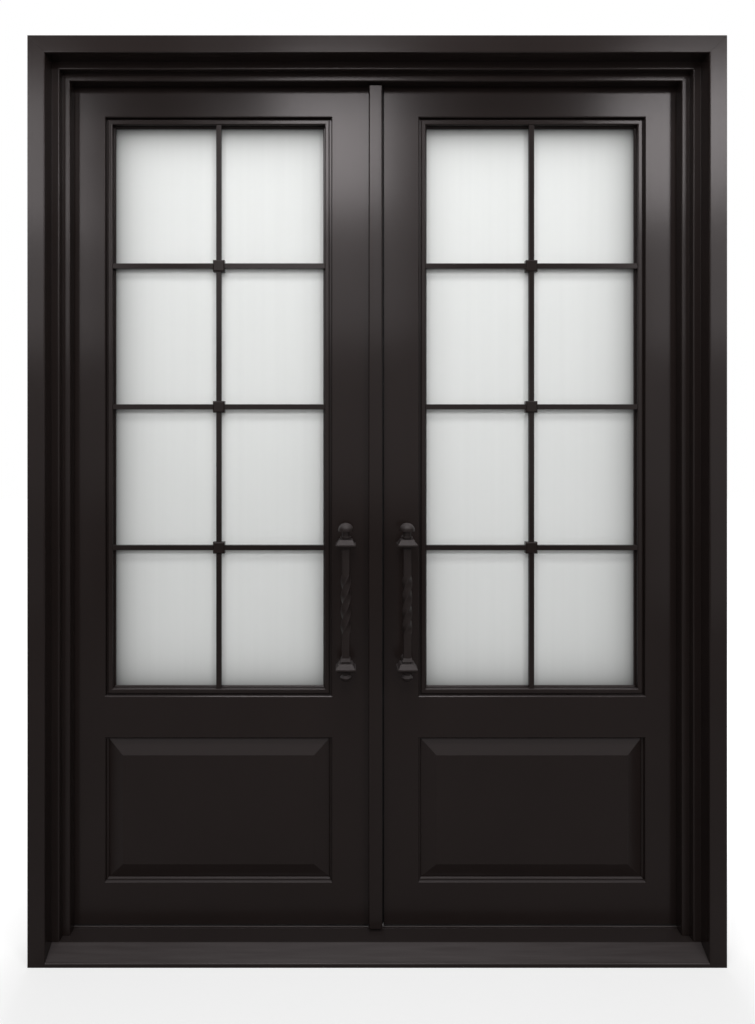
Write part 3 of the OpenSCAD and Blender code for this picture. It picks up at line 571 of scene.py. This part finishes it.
world = bpy.data.worlds.new("studio")
bpy.context.scene.world = world
world.use_nodes = True
surround = world.node_tree.nodes["Background"]
surround.inputs["Color"].default_value = (1.0, 1.0, 1.0, 1.0)
seen = node_in(world.node_tree, "ShaderNodeLightPath")
strength = node_in(world.node_tree, "ShaderNodeMix", data_type="FLOAT")
strength.inputs["A"].default_value = fill_light
strength.inputs["B"].default_value = white_behind
wire(world.node_tree, seen.outputs["Is Camera Ray"], strength.inputs["Factor"])
wire(world.node_tree, strength.outputs["Result"], surround.inputs["Strength"])
print("fill light:", fill_light)

# %% [markdown]
# ## Lamps
#
# Satin paint shows a soft mirror picture of the room that it faces. One lamp over the camera would give
# one even patch, so the lamps are laid out like a room: three windows high up in front of the door, a
# paler stretch of wall below each, dim walls across the width and low at the sides, a ceiling lamp for
# whatever faces up, and a bright room behind the glass. Each row gives the place, the height that the lamp looks at on
# the plane of the door, its width and height, and its power.

# %% Lamps
front_y = -3.5


def add_lamp(name, place, target, size, power):
    data = bpy.data.lights.new(name, "AREA")
    data.shape = "RECTANGLE"
    data.size, data.size_y = size
    data.energy = power
    lamp = bpy.data.objects.new(name, data)
    lamp.location = place
    lamp.rotation_euler = (Vector(target) - Vector(place)).to_track_quat("-Z", "Y").to_euler()
    bpy.context.scene.collection.objects.link(lamp)
    return lamp


def facing_lamp(name, x, z, looks_at, size, power):
    return add_lamp(name, (x, front_y, z), (x, 0.0, looks_at), size, power)


lamps = [
    facing_lamp("left_window", -2.59, 3.61, 3.3, (1.01, 1.05), 17.6),
    facing_lamp("middle_window", -0.17, 3.71, 3.3, (0.86, 0.91), 23.9),
    facing_lamp("right_window", 2.57, 3.73, 3.3, (1.10, 0.98), 34.0),
    facing_lamp("left_wall", -2.58, 2.66, 2.4, (1.36, 1.14), 10.1),
    facing_lamp("middle_wall", -0.29, 3.09, 2.7, (1.66, 1.84), 17.5),
    facing_lamp("right_wall", 3.03, 2.70, 2.4, (1.57, 1.12), 12.4),
    facing_lamp("left_low_wall", -2.60, 1.11, 1.11, (0.90, 2.18), 1.9),
    facing_lamp("right_low_wall", 2.85, 1.16, 1.16, (1.10, 2.28), 4.7),
    facing_lamp("facing_wall", 0.0, 1.45, 1.45, (7.0, 1.1), 8.5),
    add_lamp("ceiling", (0.0, -1.6, 4.3), (0.0, 0.0, 1.2), (2.6, 0.6), 42.0),
    add_lamp("room_behind", (0.0, 2.6, 2.2), (0.0, 0.0, 1.4), (3.0, 2.4), 60.0),
]
print("lamps:", len(lamps))

# %% [markdown]
# ## Camera
#
# The photograph was taken square to the door, a little left of its middle and from eye height, and the
# picture was then cropped. A tilted camera would make the jambs lean, so the camera stays square to the
# door and its lens is shifted, which gives the same view.

# %% Camera
image_w, image_h = 755, 1024
focal_px = 681.0
centre_px = (341.5, 440.0)
camera_place = (-0.0934, -1.856, 1.380)

camera_data = bpy.data.cameras.new("photo")
camera_data.sensor_fit = "VERTICAL"
camera_data.sensor_height = 36.0
camera_data.lens = focal_px / image_h * camera_data.sensor_height
camera_data.shift_x = (image_w / 2 - centre_px[0]) / image_h
camera_data.shift_y = (centre_px[1] - image_h / 2) / image_h
camera = bpy.data.objects.new("photo", camera_data)
camera.location = camera_place
camera.rotation_euler = (math.radians(90), 0, 0)
bpy.context.scene.collection.objects.link(camera)
bpy.context.scene.camera = camera
bpy.context.scene.view_settings.view_transform = "Standard"
print("camera:", camera_place)
